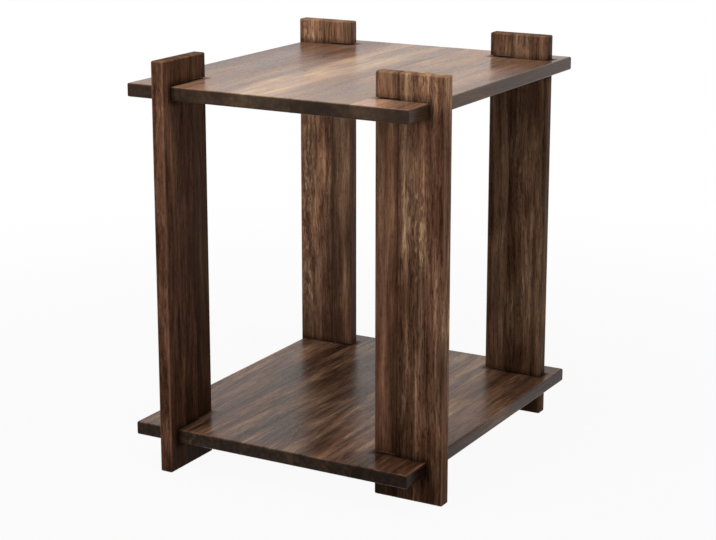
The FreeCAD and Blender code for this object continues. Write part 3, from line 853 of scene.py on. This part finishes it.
def addPegs(node, kind, material):
    places = pegPlaces(kind)
    mesh = bpy.data.meshes.new(f"{node}.turned")
    mesh.from_pydata([(start + end) / 2 for start, end in places], [], [])
    directions = mesh.attributes.new("direction", "FLOAT_VECTOR", "POINT")
    for number, (start, end) in enumerate(places):
        directions.data[number].vector = (end - start).normalized()
    piece = addObject(f"{node}.turned", mesh)
    turning = piece.modifiers.new("turning", "NODES")
    turning.node_group = pegGroup
    given = {item.name: item.identifier for item in pegGroup.interface.items_tree
             if item.item_type == "SOCKET" and item.in_out == "INPUT"}
    for name, value in {
        "Diameter": peg["diameter"], "Length": (places[0][1] - places[0][0]).length,
        "Chamfer": peg[f"{kind}Chamfer"], "Flutes": peg["flutes"], "Flute Depth": peg["fluteDepth"],
        "Sides Per Flute": peg["sidesPerFlute"], "Material": material,
    }.items():
        turning[given[name]] = value
    makePlainMesh(piece)
    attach(piece, body)
    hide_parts(node)


pegGroup = pegTree()
addPegs("joint_dowels", "dowel", beechMaterial("beech.fluted", False))
addPegs("mortise_pins", "pin", beechMaterial("beech.stained", True))
print("pegs done")

# Floor, light and camera.
stage = {
    "floorHalf": 6.0, "floorColour": "#a4a4a2",
    "whiteNear": 0.94, "whiteFrom": 0.5, "whiteTo": 1.8,  # share of white near the middle, and m from it
    "fill": 0.40, "lampsAimAt": (0, 0, 0.3),  # m
    "lamps": {  # place, size in m, watts
        "overhead": ((-0.1, -0.5, 2.0), 1.5, 26),
        "frontLeft": ((-0.8, -2.7, 1.1), 1.6, 21),
    },
}


def seenWhite(tree):
    # 1 for rays that show the background: the camera's, and those through gloss and glass.
    path = addNode(tree, "ShaderNodeLightPath").node.outputs
    seen = addNode(tree, "ShaderNodeMath", {0: path["Is Camera Ray"], 1: path["Is Glossy Ray"]},
                   operation="MAXIMUM")
    return addNode(tree, "ShaderNodeMath", {0: seen, 1: path["Is Transmission Ray"]}, operation="MAXIMUM")


def addFloor():
    half = stage["floorHalf"]
    mesh = bpy.data.meshes.new("floor")
    mesh.from_pydata([(-half, -half, 0), (half, -half, 0), (half, half, 0), (-half, half, 0)], [],
                     [(0, 1, 2, 3)])
    floor = addObject("floor", mesh)
    material = bpy.data.materials.new("studio_paper.matt")
    tree = emptyTree(material)
    paper = addNode(tree, "ShaderNodeBsdfDiffuse", {"Color": linear(stage["floorColour"])})
    white = addNode(tree, "ShaderNodeEmission", {"Color": (1, 1, 1, 1), "Strength": 1})
    spot = addNode(tree, "ShaderNodeTexCoord", out="Object")
    away = addNode(tree, "ShaderNodeVectorMath", {0: spot}, out="Value", operation="LENGTH")
    far = addNode(tree, "ShaderNodeMapRange", {
        0: away, 1: stage["whiteFrom"], 2: stage["whiteTo"], 3: stage["whiteNear"], 4: 1,
    }, interpolation_type="SMOOTHSTEP")
    blend = addNode(tree, "ShaderNodeMath", {0: far, 1: seenWhite(tree)}, operation="MULTIPLY")
    surface = addNode(tree, "ShaderNodeMixShader", {0: blend, 1: paper, 2: white})
    addNode(tree, "ShaderNodeOutputMaterial", {"Surface": surface})
    mesh.materials.append(material)


def addLight():
    world = bpy.data.worlds.new("studio")
    bpy.context.scene.world = world
    tree = emptyTree(world)
    fill = addNode(tree, "ShaderNodeBackground", {"Color": (1, 1, 1, 1), "Strength": stage["fill"]})
    white = addNode(tree, "ShaderNodeBackground", {"Color": (1, 1, 1, 1), "Strength": 1})
    surface = addNode(tree, "ShaderNodeMixShader", {0: seenWhite(tree), 1: fill, 2: white})
    addNode(tree, "ShaderNodeOutputWorld", {"Surface": surface})
    aim = Vector(stage["lampsAimAt"])
    for name, (place, size, watts) in stage["lamps"].items():
        lamp = bpy.data.lights.new(name, "AREA")
        lamp.size = size
        lamp.energy = watts
        lampObject = addObject(name, lamp)
        lampObject.location = place
        lampObject.rotation_euler = (Vector(place) - aim).to_track_quat("Z", "Y").to_euler()


cameraView = {
    "azimuth": 29.30, "elevation": 13.51,  # degrees
    "distance": 2.812, "target": (-0.0123, 0.0090, 0.3400),  # m
    "lens": 92.82, "shiftY": -0.0698,
}


def addCamera():
    camera = bpy.data.cameras.new("camera")
    camera.lens = cameraView["lens"]
    camera.shift_y = cameraView["shiftY"]
    azimuth, elevation = math.radians(cameraView["azimuth"]), math.radians(cameraView["elevation"])
    back = Vector((math.sin(azimuth) * math.cos(elevation), -math.cos(azimuth) * math.cos(elevation),
                   math.sin(elevation)))
    cameraObject = addObject("camera", camera)
    cameraObject.location = Vector(cameraView["target"]) + cameraView["distance"] * back
    cameraObject.rotation_euler = back.to_track_quat("Z", "Y").to_euler()
    bpy.context.scene.camera = cameraObject


addFloor()
addLight()
addCamera()
bpy.context.scene.view_settings.view_transform = "Standard"
print("stage done")
